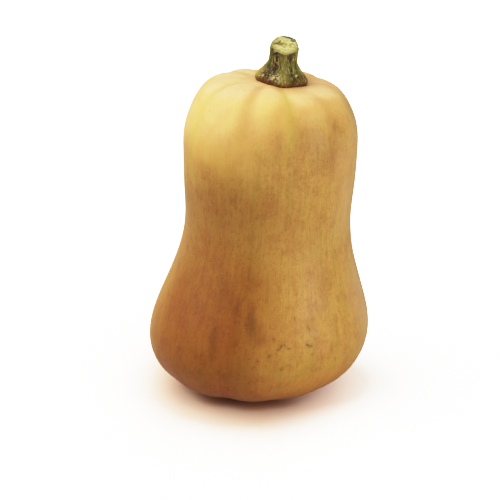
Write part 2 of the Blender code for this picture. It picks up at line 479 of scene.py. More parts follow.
VEIN_GREEN = screen_colour(200, 196, 72)
BRUISE_BROWN = screen_colour(128, 66, 26)
SCAR_BROWN = screen_colour(88, 50, 8)
PAINTED_SHADE_TINT = (0.62, 0.40, 0.22, 1.0)
CORKY_PALE = screen_colour(150, 112, 66)
CORKY_DARK = screen_colour(92, 62, 36)
SPINE_BACK = -0.0042

# The cream of the crown comes down further on the left than on the right, partly as painted light falling
# from the left, and its edge wanders.
CREAM_HEIGHTS = (NECK_HEIGHT + 0.010, CROWN_HEIGHT + 0.003)
CREAM_AND_LIGHT_LEAN = 0.22
CREAM_AND_LIGHT_SIDE = (0.014, -0.012)
CREAM_AND_LIGHT_SIDE_DROP = (-0.002, 0.010)
EDGE_WANDER = 0.030
EDGE_WANDER_SCALE = 26.0

# The skin is painted a deeper brown all down the front's left, from the neck to the ground: painted shade,
# as where a shadow falls.
PAINTED_SHADE_BEARING = -37.0
PAINTED_SHADE_HALF_WIDTH = 42.0
PAINTED_SHADE_WANDER = 12.0
PAINTED_SHADE_SHARES = (0.06, 0.78)

# Streaks: how closely they lie across and along, where they start and are full, colour and strength.
FIBRES = (
    (6.0, 16.0, 0.48, 0.66, ROSY, 0.18),
    (8.5, 7.0, 0.48, 0.66, OLIVE, 0.22),
    (38.0, 30.0, 0.46, 0.70, FIBRE_BROWN, 0.13),
    (30.0, 18.0, 0.50, 0.72, FIBRE_PALE, 0.13),
)

# Marks about the stem, a tan stain ring that is partly painted contact shade and a painted shade below the
# front toe: middle from the stem's seat, run, half width, colour and strength.
STEM_STAINS_AND_SHADES = (
    ((0.0060, -0.0050, 0.0), (0.0010, 0.0, 0.0), 0.0320, STEM_RING_STAIN_AND_SHADE, 0.46),
    ((0.0045, -0.0250, 0.0), (0.0040, -0.0020, 0.0), 0.0115, TOE_PRINT_SHADE, 0.50),
)

# Lines down the fruit: bearing, half width, wander, start and end from the stem, colour and strength.
LINES = (
    # The tan line at -20 degrees is painted shade along the deep furrow there.
    (-20.0, 6.0, 3.0, 0.050, 0.120, GROOVE_SHADE_TAN, 0.46),
    (-61.0, 1.2, 2.0, 0.006, 0.090, VEIN_GREEN, 0.75),
    (-63.0, 5.0, 2.0, 0.060, 0.140, screen_colour(238, 214, 108), 0.32),
    (13.0, 5.0, 5.0, 0.030, 0.095, screen_colour(198, 184, 68), 0.42),
    (14.0, 2.2, 5.0, 0.050, 0.110, screen_colour(182, 170, 60), 0.20),
    (88.0, 1.6, 3.0, 0.010, 0.100, VEIN_GREEN, 0.45),
    (163.0, 1.6, 3.0, 0.010, 0.100, VEIN_GREEN, 0.45),
    (230.0, 1.6, 3.0, 0.010, 0.100, VEIN_GREEN, 0.45),
    # The tan lines at 126 and 198 degrees are painted shade along the deep furrows there.
    (126.0, 6.0, 3.0, 0.040, 0.120, GROOVE_SHADE_TAN, 0.16),
    (198.0, 6.0, 3.0, 0.040, 0.120, GROOVE_SHADE_TAN, 0.16),
)

# Patches, some of them painted light, bruises and scars: bearing, height, run across, run down, half width,
# colour, strength.
PATCHES = (
    (-46.0, 0.177, 0.014, 0.0, 0.020, screen_colour(228, 158, 48), 0.16),
    # The pale patches at -47 and -19 degrees on the neck's left are partly painted light, falling from the
    # left.
    (-47.0, 0.184, 0.010, 0.003, 0.016, screen_colour(238, 198, 108), 0.42),
    (-19.0, 0.184, 0.003, 0.004, 0.016, screen_colour(236, 192, 112), 0.40),
    (-4.0, 0.212, 0.004, 0.004, 0.013, screen_colour(232, 194, 108), 0.34),
    # The pale patches at 60 and 72 degrees are painted reflection: the right side paler where the skin
    # turns away.
    (60.0, 0.155, 0.002, 0.024, 0.022, screen_colour(212, 174, 116), 0.40),
    (72.0, 0.058, 0.002, 0.026, 0.026, screen_colour(214, 176, 122), 0.50),
    (38.0, 0.026, 0.016, 0.0, 0.016, screen_colour(222, 154, 80), 0.30),
)
BRUISES = (
    (31.0, 0.193, 0.0060, 0.010, 0.0180, 0.24),
    (2.0, 0.192, 0.0, 0.006, 0.0100, 0.10),
    (52.0, 0.194, 0.0060, 0.010, 0.0130, 0.07),
    (34.0, 0.102, 0.0, 0.022, 0.0160, 0.08),
    (28.0, 0.067, 0.0, 0.010, 0.0100, 0.12),
    (-24.0, 0.088, 0.0, 0.008, 0.0120, 0.16),
    (3.0, 0.080, 0.0, 0.012, 0.0120, 0.08),
    (-15.6, 0.080, 0.0, 0.014, 0.0045, 0.26),
    (-7.0, 0.072, 0.0, 0.012, 0.0055, 0.34),
    (-3.0, 0.066, 0.0010, 0.006, 0.0080, 0.34),
    (-26.0, 0.060, 0.0, 0.012, 0.0055, 0.36),
    (31.0, 0.082, 0.0, 0.008, 0.0022, 0.22),
    (140.0, 0.085, 0.0, 0.010, 0.0045, 0.35),
    (205.0, 0.060, 0.0020, 0.006, 0.0050, 0.35),
    (260.0, 0.150, 0.0, 0.008, 0.0035, 0.30),
)
SCARS = (
    (10.0, 0.0572, 0.0006, -0.0009, 0.0010, 0.58),
    (8.4, 0.0554, 0.0007, -0.0003, 0.0008, 0.58),
    (12.0, 0.0580, 0.0002, 0.0003, 0.0010, 0.52),
    (14.0, 0.0556, 0.0009, 0.0002, 0.0007, 0.44),
    (24.5, 0.0560, 0.0007, 0.0004, 0.0012, 0.62),
    (26.5, 0.0552, 0.0006, 0.0003, 0.0009, 0.46),
    (17.2, 0.0745, 0.0003, 0.0018, 0.0008, 0.36),
    (25.5, 0.0668, 0.0004, 0.0008, 0.0010, 0.36),
    (6.0, 0.0622, 0.0003, 0.0003, 0.0010, 0.38),
    (4.2, 0.0512, 0.0005, -0.0002, 0.0010, 0.44),
    (-1.3, 0.0478, 0.0003, 0.0, 0.0009, 0.32),
    (-3.0, 0.0434, 0.0005, -0.0003, 0.0008, 0.32),
    (11.0, 0.0412, 0.0004, 0.0003, 0.0008, 0.32),
    (14.5, 0.0440, 0.0003, 0.0, 0.0008, 0.32),
    (27.0, 0.0492, 0.0003, 0.0002, 0.0010, 0.32),
    (42.0, 0.0405, 0.0002, 0.0008, 0.0007, 0.32),
    (48.0, 0.2005, 0.0, 0.0002, 0.0013, 0.38),
    (66.0, 0.0780, 0.0008, 0.0005, 0.0009, 0.38),
    (96.0, 0.0620, 0.0012, -0.0008, 0.0009, 0.38),
    (99.0, 0.0602, 0.0004, 0.0004, 0.0012, 0.38),
    (151.0, 0.0560, 0.0013, 0.0006, 0.0010, 0.38),
    (188.0, 0.0980, 0.0003, 0.0015, 0.0008, 0.38),
    (233.0, 0.0700, 0.0009, 0.0009, 0.0010, 0.38),
    (281.0, 0.0520, 0.0005, 0.0010, 0.0009, 0.38),
)
SCAR_HALO = 3.0
SCAR_HALO_STRENGTH = 0.18
SCAR_CORE = 0.8
DOT_SCALE = 85.0
DOT_EDGE = (0.075, 0.035)
DOT_CHOICE = (0.30, 0.26)
BLOSSOM_SCAR_RADIUS = 0.0050
BLOSSOM_SCAR_EDGE = 0.0006
SHAKE_SCALE = 320.0
SOFT_SHAKE = 0.003
FINE_SHAKE = 0.0012


def skin_place(bearing, height):
    """The point of the lower skin at a bearing and a height."""
    rule = outline[outline[:, 1].argmax() :]
    radius = np.interp(-height, -rule[:, 1], rule[:, 0])
    angle = math.radians(bearing)
    right = spine_shift(height) + SPINE_BACK + radius * math.sin(angle)
    return Vector((right, -radius * math.cos(angle), height))


def skin_mark(tree, place, bearing, height, across, down, half_width):
    """A mark about a place of the skin, that runs so far across and down to each side of it."""
    angle = math.radians(bearing)
    run = Vector((across * math.cos(angle), across * math.sin(angle), -down))
    return mark(tree, place, skin_place(bearing, height), run, half_width)


def stem_seat():
    """Where the middle of the stem's foot meets the crown."""
    right = spine_shift(STEM_SEAT_HEIGHT) + SPINE_BACK
    return Vector((right, 0.0, STEM_SEAT_HEIGHT)) + STEM_SHIFT.to_3d()


def rind_ground(tree, place, ragged, leaning, shoulder):
    """The rind's plain colours: cream on the crown, tan on the neck and the bulb, orange at the base, with
    painted shade in the shoulder furrows and a painted highlight on their lobes.
    """
    height = parts_of(tree, place)["Z"]
    furrow = painted(tree, "furrow")
    colour = blend_in(tree, NECK_TAN, CROWN_BUTTER, ease(tree, leaning, *CREAM_HEIGHTS))
    top = ease(tree, ragged, CROWN_HEIGHT - 0.005, CROWN_HEIGHT + 0.002)
    colour = blend_in(tree, colour, CROWN_CREAM, top, 0.6)
    bulb = ease(tree, ragged, WAIST_HEIGHT + 0.02, BELLY_HEIGHT)
    colour = blend_in(tree, colour, BULB_TAN, bulb)
    colour = blend_in(tree, colour, BASE_ORANGE, ease(tree, ragged, 0.040, 0.012), 0.85)
    colour = blend_in(tree, colour, BASE_RED, ease(tree, height, 0.013, 0.004), 0.55)

    # Painted shade in the shoulder furrows and a painted highlight on the lobes between them.
    sunk = both(tree, ease(tree, furrow, -0.1, 0.7), shoulder)
    colour = blend_in(tree, colour, FURROW_SHADE_TAN, sunk, 0.24)
    lobe_highlight = both(tree, ease(tree, furrow, 0.0, -0.3), shoulder)
    colour = blend_in(tree, colour, LOBE_HIGHLIGHT_BUTTER, lobe_highlight, 0.20)
    peach = both(tree, specks(tree, 38.0, 0.46, 0.62, 3.0), shoulder)
    return blend_in(tree, colour, SHOULDER_PEACH, peach, 0.28)


def rind_grain(tree, colour, below_crown):
    """Adds the rind's long fibres, and its clouds, freckles and light flecks, which fade on the crown."""
    for turns, length, low, high, shade, strength in FIBRES:
        fibres = both(tree, streaks(tree, turns, length, low, high), below_crown)
        colour = blend_in(tree, colour, shade, fibres, strength)
    freckled = reckon(tree, "MULTIPLY_ADD", below_crown, 0.72, 0.28)
    clouds = both(tree, specks(tree, 48.0, 0.46, 0.62, 3.0), freckled)
    colour = blend_in(tree, colour, CLOUD_TAN, clouds, 0.20)
    mottle = both(tree, specks(tree, 95.0, 0.46, 0.66, 3.0), freckled)
    colour = blend_in(tree, colour, FRECKLE_TINT, mottle, 0.36, "MULTIPLY")
    long_freckles = both(tree, streaks(tree, 27.0, 190.0, 0.50, 0.70), freckled)
    colour = blend_in(tree, colour, FRECKLE_TINT, long_freckles, 0.55, "MULTIPLY")
    fine_freckles = both(tree, specks(tree, 640.0, 0.50, 0.74), freckled)
    colour = blend_in(tree, colour, FRECKLE_TINT, fine_freckles, 0.70, "MULTIPLY")
    light_flecks = both(tree, specks(tree, 420.0, 0.54, 0.76, 3.0), freckled)
    return blend_in(tree, colour, FLECK_PALE, light_flecks, 0.24)


def rind_marks(tree, colour, place, ragged):
    """Adds what has its own place: a tan stain and painted contact shade about the stem, veins, painted
    shade along grooves, bruises, scars, patches and painted shade down the front's left.
    """
    height = parts_of(tree, place)["Z"]
    soft_place = shaken(tree, SOFT_SHAKE)
    fine_place = shaken(tree, FINE_SHAKE)
    # Painted shade where the stem's foot meets the crown, over a tan stain ring.
    for offset, run, half_width, shade, strength in STEM_STAINS_AND_SHADES:
        stem_stain_and_shade = mark(tree, soft_place, stem_seat() + Vector(offset), run, half_width)
        colour = blend_in(tree, colour, shade, stem_stain_and_shade, strength)
    for bearing, half_width, wander, start, end, shade, strength in LINES:
        line = meridian(tree, bearing, half_width, wander, start, end)
        colour = blend_in(tree, colour, shade, line, strength)
    for *spot, half_width, strength in BRUISES:
        bruise = skin_mark(tree, soft_place, *spot, half_width)
        colour = blend_in(tree, colour, BRUISE_BROWN, bruise, strength)
    for *spot, half_width, strength in SCARS:
        halo = skin_mark(tree, soft_place, *spot, SCAR_HALO * half_width)
        colour = blend_in(tree, colour, BRUISE_BROWN, halo, SCAR_HALO_STRENGTH)
        scar = skin_mark(tree, fine_place, *spot, SCAR_CORE * half_width)
        colour = blend_in(tree, colour, SCAR_BROWN, scar, strength)
    for *spot, half_width, shade, strength in PATCHES:
        patch = skin_mark(tree, soft_place, *spot, half_width)
        colour = blend_in(tree, colour, shade, patch, strength)

    # Painted shade: the front's left is made a deeper brown from the neck down, as where a shadow falls.
    upper_painted_shade = ease(tree, ragged, NECK_HEIGHT + 0.002, NECK_HEIGHT - 0.024, 0.0, 0.52)
    lower_painted_shade = ease(tree, ragged, WAIST_HEIGHT + 0.01, BELLY_HEIGHT + 0.02, 0.0, 0.48)
    left_painted_shade = reckon(tree, "ADD", upper_painted_shade, lower_painted_shade)
    left_painted_shade = both(tree, left_painted_shade, ease(tree, height, 0.0, 0.04, 0.6, 1.0))
    side = meridian(tree, PAINTED_SHADE_BEARING, PAINTED_SHADE_HALF_WIDTH, PAINTED_SHADE_WANDER, 0.0001, 2.0)
    left_painted_shade = both(tree, left_painted_shade, ease(tree, side, *PAINTED_SHADE_SHARES))
    colour = blend_in(tree, colour, PAINTED_SHADE_TINT, left_painted_shade, 1.0, "MULTIPLY")

    cells = put(tree, "ShaderNodeTexVoronoi", {"Vector": place, "Scale": DOT_SCALE}).outputs
    chance = put(tree, "ShaderNodeSeparateColor", {0: cells["Color"]}).outputs[0]
    dots = both(tree, ease(tree, cells["Distance"], *DOT_EDGE), ease(tree, chance, *DOT_CHOICE))
    return blend_in(tree, colour, SCAR_BROWN, dots, 0.40)


def rind_material():
    material = bpy.data.materials.new("squash rind")
    material.use_nodes = True
    tree = material.node_tree
    shader = tree.nodes["Principled BSDF"]
    place = put(tree, "ShaderNodeTexCoord").outputs["Object"]
    across = parts_of(tree, place)["X"]
    height = parts_of(tree, place)["Z"]

    drift = about_zero(tree, cloudy(tree, place, EDGE_WANDER_SCALE, 3.0))
    ragged = reckon(tree, "MULTIPLY_ADD", drift, EDGE_WANDER, height)
    # Partly painted light: the cream reaches lower on the left, the side the light falls from.
    leaning = reckon(tree, "ADD", ease(tree, across, *CREAM_AND_LIGHT_SIDE, *CREAM_AND_LIGHT_SIDE_DROP), ragged)
    leaning = reckon(tree, "MULTIPLY_ADD", across, -CREAM_AND_LIGHT_LEAN, leaning)
    below_crown = ease(tree, leaning, CROWN_HEIGHT - 0.002, NECK_HEIGHT)
    shoulder = ease(tree, height, NECK_HEIGHT - 0.01, CROWN_HEIGHT - 0.01)
    colour = rind_ground(tree, place, ragged, leaning, shoulder)
    colour = rind_grain(tree, colour, below_crown)
    colour = rind_marks(tree, colour, place, ragged)

    along = parts_of(tree, painted(tree, "way", "Vector"))["Z"]
    scar_start = fruit_way[-1] - BLOSSOM_SCAR_RADIUS
    blossom = ease(tree, along, scar_start - BLOSSOM_SCAR_EDGE, scar_start + BLOSSOM_SCAR_EDGE)
    corky = blend_in(tree, CORKY_PALE, CORKY_DARK, specks(tree, 900.0, 0.45, 0.6))
    colour = blend_in(tree, colour, corky, blossom)

    tree.links.new(colour, shader.inputs["Base Color"])
    polish = reckon(tree, "MULTIPLY_ADD", specks(tree, 90.0, 0.35, 0.65), 0.12, 0.40)
    tree.links.new(polish, shader.inputs["Roughness"])
    shader.inputs["Specular IOR Level"].default_value = 0.36
    shader.inputs["Sheen Weight"].default_value = 0.07
    shader.inputs["Sheen Roughness"].default_value = 0.45
    shader.inputs["Sheen Tint"].default_value = (1.0, 0.93, 0.80, 1.0)
    long_grain = streaks(tree, 50.0, 120.0, 0.3, 0.7)
    grain = reckon(tree, "ADD", long_grain, specks(tree, 700.0, 0.3, 0.7))
    bump = put(tree, "ShaderNodeBump", {"Height": grain, "Distance": 0.00012, "Strength": 0.35})
    tree.links.new(bump.outputs[0], shader.inputs["Normal"])
    return material


# The outline of the turned fruit, as (radius, height), from the middle of its crown to its blossom dimple.
FRUIT_OUTLINE = (
    (0.0, CROWN_HEIGHT - 0.0015),
    (0.5 * CROWN_RADIUS, CROWN_HEIGHT - 0.0007),
    (CROWN_RADIUS, CROWN_HEIGHT),
    (0.0460, CROWN_HEIGHT - 0.0060),
    (0.0530, CROWN_HEIGHT - 0.0150),
    (0.0591, NECK_HEIGHT + 0.0160),
    (NECK_RADIUS, NECK_HEIGHT),
    (WAIST_RADIUS + 0.0011, 0.5 * (NECK_HEIGHT + WAIST_HEIGHT)),
    (WAIST_RADIUS, WAIST_HEIGHT),
    (0.0643, WAIST_HEIGHT - 0.0330),
    (BELLY_RADIUS, BELLY_HEIGHT),
    (0.0745, BELLY_HEIGHT - 0.0210),
    (0.0610, 0.0120),
    (0.0390, 0.0030),
    (REST_RADIUS, 0.0),
    (0.72 * REST_RADIUS, -0.0010),
    (0.45 * REST_RADIUS, 0.0),
    (0.0, BLOSSOM_DIMPLE_DEPTH),
)
outline, fruit_way = smooth_curve(FRUIT_OUTLINE, FRUIT_RINGS + 1)
fruit = turned_piece("fruit", outline, fruit_way, FRUIT_AROUND)
at = points_of(fruit)
keep_value(fruit, "furrow", furrow_at(np.degrees(np.arctan2(at[:, 0], -at[:, 1]))))
made_by(fruit, grow_tree(), Material=rind_material())

# The grown fruit is set down where its solid stands, and its crown rises to meet the stem's foot.
grown = points_of(fruit)
low, high = (np.array(corner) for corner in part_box("squash_fruit"))
GROUND_SHIFT = (low + high) / 2 - (grown.min(axis=0) + grown.max(axis=0)) / 2
GROUND_SHIFT[2] = 0.0
grown += GROUND_SHIFT
STEM_SEAT = Vector((spine_shift(STEM_SEAT_HEIGHT), 0.0, STEM_SEAT_HEIGHT)) + STEM_SHIFT.to_3d()
STEM_SEAT += Vector(GROUND_SHIFT)
off = grown - np.array(STEM_SEAT)
seat = STEM_SEAT_RISE - math.tan(STEM_TILT) * off[:, 0] - off[:, 2]
near = 1 - step_up(np.hypot(off[:, 0], off[:, 1]), *STEM_SEAT_EDGE)
grown[:, 2] += seat * near * (off[:, 2] > -STEM_SEAT_REACH)
fruit.data.vertices.foreach_set("co", grown.ravel())
fruit.data.update()
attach(fruit, "root")
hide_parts("squash_fruit")

# The stem is the dry stump that the fruit hung from: corky, ribbed, flared into five toes where it grips
# the crown, and cut off on a slant. It grew onto the crown, so its toes press into the rind.
STEM_LEAN = -0.0012
STEM_HEIGHT = 0.0270
STEM_RADIUS = 0.0092
STEM_FOOT_RADIUS = 0.0168
STEM_CUT_SLANT = math.radians(24.0)
TOES = ((-78.0, 0.85), (4.0, 1.2), (62.0, 1.1), (132.0, 0.9), (206.0, 0.9))
TOE_WIDTH = 22.0
TOE_MEAN = 0.38
TOE_HEIGHTS = (0.0, 0.002, 0.005, 0.009, 0.0135, 0.018, 0.026)
TOE_SHARES = (0.06, 0.14, 0.24, 0.30, 0.21, 0.12, 0.06)
STEM_AROUND = 220
STEM_RINGS = 230

# On the cut, by places across it: a sunken hollow, a crack, a raised scab and a crust along the rim.
CUT_EDGE = (1.03, 0.97)
RIM_SHARES = (0.70, 0.98)
HOLLOW_PLACE = (-0.0034, 0.0008)
HOLLOW_SIZE = (0.0030, 0.0013)
HOLLOW_DEPTH = 0.0009
CRACK = ((-0.0072, -0.0004), (-0.0030, 0.0036))
CRACK_WIDTH = 0.0005
CRACK_DEPTH = 0.0005
SCAB_PLACE = (0.0056, 0.0050)
SCAB_SIZE = 0.0018
SCAB_EDGE = (0.2, 0.7)
SCAB_HEIGHT = 0.0005
CRUST = ((-0.0012, 0.0084), (0.0050, 0.0066))
CRUST_WIDTH = 0.0014
CRUST_SHARE = 0.35

BARK_UMBER = screen_colour(104, 88, 42)
BARK_GREEN = screen_colour(124, 126, 54)
BARK_BROWN = screen_colour(58, 38, 22)
BARK_CORK = screen_colour(220, 194, 138)
TOE_OLIVE = screen_colour(168, 152, 80)
VALLEY_BROWN_AND_SHADE = screen_colour(60, 38, 20)
HOLLOW_BROWN_AND_SHADE = screen_colour(60, 42, 24)
CREST_CORK = screen_colour(210, 186, 126)
STREAK_CORK = screen_colour(218, 192, 136)
SMUDGE_BROWN = screen_colour(56, 40, 26)
CRUMB_CORK = screen_colour(222, 196, 138)
PATCH_CORK = screen_colour(226, 198, 140)
FOOT_RUST = screen_colour(112, 66, 8)
FOOT_EDGE_BROWN_AND_SHADE = screen_colour(60, 26, 8)
SCAB_DARK = screen_colour(70, 58, 44)
SCAB_GREY = screen_colour(146, 132, 100)

# Toes with a colour of their own: middle from the stem's seat, run, reach, colour and strength.
TOE_TINTS = (
    ((-0.0150, -0.0020, 0.0060), (0.002, 0.001, 0.002), 0.0085, screen_colour(214, 196, 112), 0.85),
    ((0.0150, -0.0050, 0.0040), (0.0, 0.002, 0.0), 0.0095, screen_colour(104, 70, 24), 0.62),
)

# Streaks down the bark: bearings and heights of the top and the foot, half width, colour, strength.
BARK_STREAK_BEND = 0.0125
BARK_STREAKS = (
    (31.0, 31.0, 0.0225, 0.0060, 0.0017, BARK_BROWN, 0.74),
    (54.0, 44.0, 0.0185, 0.0080, 0.0011, BARK_BROWN, 0.66),
    (8.0, 12.0, 0.0215, 0.0130, 0.0008, BARK_BROWN, 0.45),
    (41.0, 38.0, 0.0215, 0.0120, 0.0006, BARK_CORK, 0.80),
    (19.0, 22.0, 0.0205, 0.0110, 0.0005, BARK_CORK, 0.70),
    (-24.0, -22.0, 0.0215, 0.0160, 0.0005, BARK_CORK, 0.70),
    (66.0, 58.0, 0.0125, 0.0050, 0.0007, BARK_CORK, 0.70),
)

# Spots of cork on the foot: middle from the stem's seat and half width. Then the grains at its front.
CORK_PATCHES = (
    ((-0.0058, -0.0125, 0.0052), 0.0020),
    ((-0.0125, -0.0075, 0.0062), 0.0014),
    ((0.0015, -0.0165, 0.0018), 0.0010),
    ((0.0105, -0.0105, 0.0085), 0.0012),
    ((0.0120, 0.0100, 0.0060), 0.0018),
    ((-0.0060, 0.0140, 0.0050), 0.0018),
)
CORK_PATCH_RUN = (0.0004, 0.0, 0.0012)
GRAIN_PALE = screen_colour(232, 212, 168)
GRAIN_MIDDLE = Vector((-0.0030, -0.0146, 0.0066))
GRAIN_RUN = (0.0044, -0.0022, -0.0022)
GRAIN_REACH = 0.0050

# The cut's wood: colours of its specks, their scale, where they start and are full, detail and strength.
WOOD_PALE = screen_colour(218, 212, 146)
WOOD_SPECKS = (
    (screen_colour(188, 178, 108), 520.0, 0.42, 0.64, 2.0, 1.0),
    (screen_colour(232, 226, 176), 1300.0, 0.54, 0.66, 2.0, 0.7),
    (screen_colour(150, 140, 76), 900.0, 0.56, 0.70, 2.0, 0.7),
    (screen_colour(158, 146, 74), 260.0, 0.50, 0.62, 3.0, 0.38),
)
CUT_MARKS = (
    ("rim", screen_colour(146, 130, 66), 0.7),
    ("hollow", screen_colour(134, 112, 58), 0.9),
    ("crack", screen_colour(104, 92, 48), 0.75),
)


def toe_at(degrees):
    """How far out a bearing of the stem lies: up to 1 on a toe, and below 0 in the valley between two."""
    reach = -TOE_MEAN * np.ones_like(degrees)
    for middle, share in TOES:
        off = (degrees - middle + 180.0) % 360.0 - 180.0
        reach += share * np.exp(-((off / TOE_WIDTH) ** 2))
    return reach


def stem_place(bearing, height):
    """The point of the stem's side at a bearing and a height above its foot."""
    radius = np.interp(-height, -stem_rule[:, 1], stem_rule[:, 0])
    radius *= 1 + np.interp(height, TOE_HEIGHTS, TOE_SHARES) * toe_at(np.array([bearing]))[0]
    angle = math.radians(bearing)
    spot = Vector((radius * math.sin(angle), -radius * math.cos(angle), height))
    bent = (height / STEM_HEIGHT) ** 2
    spot += bent * Vector((0.0, STEM_LEAN, math.tan(STEM_CUT_SLANT) * spot.y))
    return STEM_SEAT + Matrix.Rotation(STEM_TILT, 3, "Y") @ spot


def near_spot(points, place, size):
    """A soft round or oval spot on the cut: 1 in its middle, 0 outside."""
    off = (points[:, :2] - np.array(place)) / np.array(size)
    return np.exp(-(off**2).sum(axis=1))


def near_line(points, start, end, width):
    """A soft line on the cut between two places."""
    start, end = np.array(start), np.array(end)
    run = end - start
    share = np.clip((points[:, :2] - start) @ run / (run @ run), 0.0, 1.0)
    off = np.linalg.norm(points[:, :2] - start - share[:, None] * run, axis=1)
    return np.exp(-((off / width) ** 2))


def bark_tree():
    """The rule that weathers the turned stem: ribs and fibres along it, a crumbly skin, and a rough cut."""
    tree, given = shape_tree(
        "weather bark",
        Rib_Height=0.0011,
        Rib_Spread=3.6,
        Fibre_Height=0.0005,
        Fibre_Spread=11.0,
        Crumb_Height=0.0005,
        Cut_Roughness=0.0007,
    )
    position = put(tree, "GeometryNodeInputPosition").outputs[0]
    normal = put(tree, "GeometryNodeInputNormal").outputs[0]
    way = stored(tree, "way", "FLOAT_VECTOR")
    cut = stored(tree, "cut")

    def grain(spread, along, detail):
        stretched = vectors(tree, "MULTIPLY", way, vector_of(tree, spread, spread, along))
        return about_zero(tree, cloudy(tree, stretched, 1.0, detail))

    rib = grain(given["Rib Spread"], 22.0, 1.0)
    fibre = grain(given["Fibre Spread"], 60.0, 2.0)
    crumb = about_zero(tree, cloudy(tree, position, 620.0, 2.0))
    bark = reckon(tree, "MULTIPLY", rib, given["Rib Height"])
    bark = reckon(tree, "MULTIPLY_ADD", fibre, given["Fibre Height"], bark)
    bark = reckon(tree, "MULTIPLY_ADD", crumb, given["Crumb Height"], bark)
    wood = about_zero(tree, cloudy(tree, position, 750.0, 3.0))
    wood = reckon(tree, "MULTIPLY", wood, given["Cut Roughness"])
    side = reckon(tree, "MULTIPLY", bark, reckon(tree, "SUBTRACT", 1.0, cut))
    out = reckon(tree, "MULTIPLY", reckon(tree, "MULTIPLY_ADD", wood, cut, side), 2.0)

    relief = reckon(tree, "MULTIPLY_ADD", rib, 0.6, fibre)
    feeds = {"Geometry": given["Geometry"], "Name": "relief", "Value": relief}
    kept = put(tree, "GeometryNodeStoreNamedAttribute", feeds, data_type="FLOAT", domain="POINT").outputs[0]
    moved = {"Geometry": kept, "Offset": scaled(tree, normal, out)}
    weathered = put(tree, "GeometryNodeSetPosition", moved).outputs[0]
    finish_shape(tree, weathered, given["Material"])
    return tree


def bark_streak(tree, place, top_bearing, foot_bearing, top, bottom, half_width):
    """A streak down the stem's hollow side, in two straight runs that meet at its bend."""
    start = stem_place(top_bearing, top)
    bend = stem_place((top_bearing + foot_bearing) / 2, max(bottom + 0.001, BARK_STREAK_BEND))
    end = stem_place(foot_bearing, bottom)
    upper = mark(tree, place, (start + bend) / 2, (bend - start) / 2, half_width)
    lower = mark(tree, place, (bend + end) / 2, (end - bend) / 2, half_width)
    return reckon(tree, "MAXIMUM", upper, lower)


def bark_colour(tree):
    """The stem's side: green and umber bark, browner in its valleys partly as painted shade, with cork on
    its ribs and its foot, and a painted shade at the foot's lower edge.
    """
    relief = painted(tree, "relief")
    toe = painted(tree, "toe")
    foot = painted(tree, "foot")
    colour = blend_in(tree, BARK_UMBER, BARK_GREEN, specks(tree, 180.0, 0.38, 0.60))
    colour = blend_in(tree, colour, TOE_OLIVE, ease(tree, toe, 0.15, 0.85), 0.40)
    ragged_place = shaken(tree, 0.0022)
    for offset, run, reach, shade, strength in TOE_TINTS:
        tint = mark(tree, ragged_place, STEM_SEAT + Vector(offset), run, reach)
        colour = blend_in(tree, colour, shade, tint, strength)
    # Partly painted shade: darker in the valleys between the toes and along the hollows between the ribs.
    colour = blend_in(tree, colour, VALLEY_BROWN_AND_SHADE, ease(tree, toe, 0.0, -0.30), 0.85)
    colour = blend_in(tree, colour, HOLLOW_BROWN_AND_SHADE, ease(tree, relief, -0.03, -0.22), 0.70)
    crest = both(tree, ease(tree, relief, 0.15, 0.24), specks(tree, 300.0, 0.40, 0.54))
    colour = blend_in(tree, colour, CREST_CORK, crest, 0.7)
    cork = both(tree, streaks(tree, 26.0, 170.0, 0.56, 0.66), specks(tree, 260.0, 0.42, 0.56))
    colour = blend_in(tree, colour, STREAK_CORK, cork, 0.75)
    smudges = streaks(tree, 24.0, 90.0, 0.55, 0.70)
    colour = blend_in(tree, colour, SMUDGE_BROWN, smudges, 0.45)
    wavy_place = shaken(tree, 0.0009)
    for *course, shade, strength in BARK_STREAKS:
        colour = blend_in(tree, colour, shade, bark_streak(tree, wavy_place, *course), strength)
    crumbs = both(tree, specks(tree, 620.0, 0.56, 0.68), ease(tree, foot, 0.10, 0.60, 0.35, 1.0))
    colour = blend_in(tree, colour, CRUMB_CORK, crumbs, 0.60)
    for offset, size in CORK_PATCHES:
        patch = mark(tree, ragged_place, STEM_SEAT + Vector(offset), CORK_PATCH_RUN, size)
        colour = blend_in(tree, colour, PATCH_CORK, patch, 0.9)
    colour = blend_in(tree, colour, FOOT_RUST, ease(tree, foot, 0.35, 0.92), 0.80)
    grainy = mark(tree, ragged_place, STEM_SEAT + GRAIN_MIDDLE, GRAIN_RUN, GRAIN_REACH)
    grains = both(tree, specks(tree, 900.0, 0.50, 0.60), grainy)
    colour = blend_in(tree, colour, GRAIN_PALE, grains, 0.72)
    # Partly painted shade: the foot's lower edge is darkest where it meets the crown.
    return blend_in(tree, colour, FOOT_EDGE_BROWN_AND_SHADE, ease(tree, foot, 0.90, 1.0), 0.9)


def cut_colour(tree):
    """The cut: pale speckled wood, darker at its rim, its hollow and its crack, with a grey scab."""
    wood = WOOD_PALE
    for shade, scale, low, high, detail, strength in WOOD_SPECKS:
        wood = blend_in(tree, wood, shade, specks(tree, scale, low, high, detail), strength)
    for name, shade, strength in CUT_MARKS:
        wood = blend_in(tree, wood, shade, painted(tree, name), strength)
    scab = painted(tree, "scab")
    wood = blend_in(tree, wood, SCAB_DARK, ease(tree, scab, 0.02, 0.30), 0.85)
    return blend_in(tree, wood, SCAB_GREY, ease(tree, scab, 0.45, 0.95))


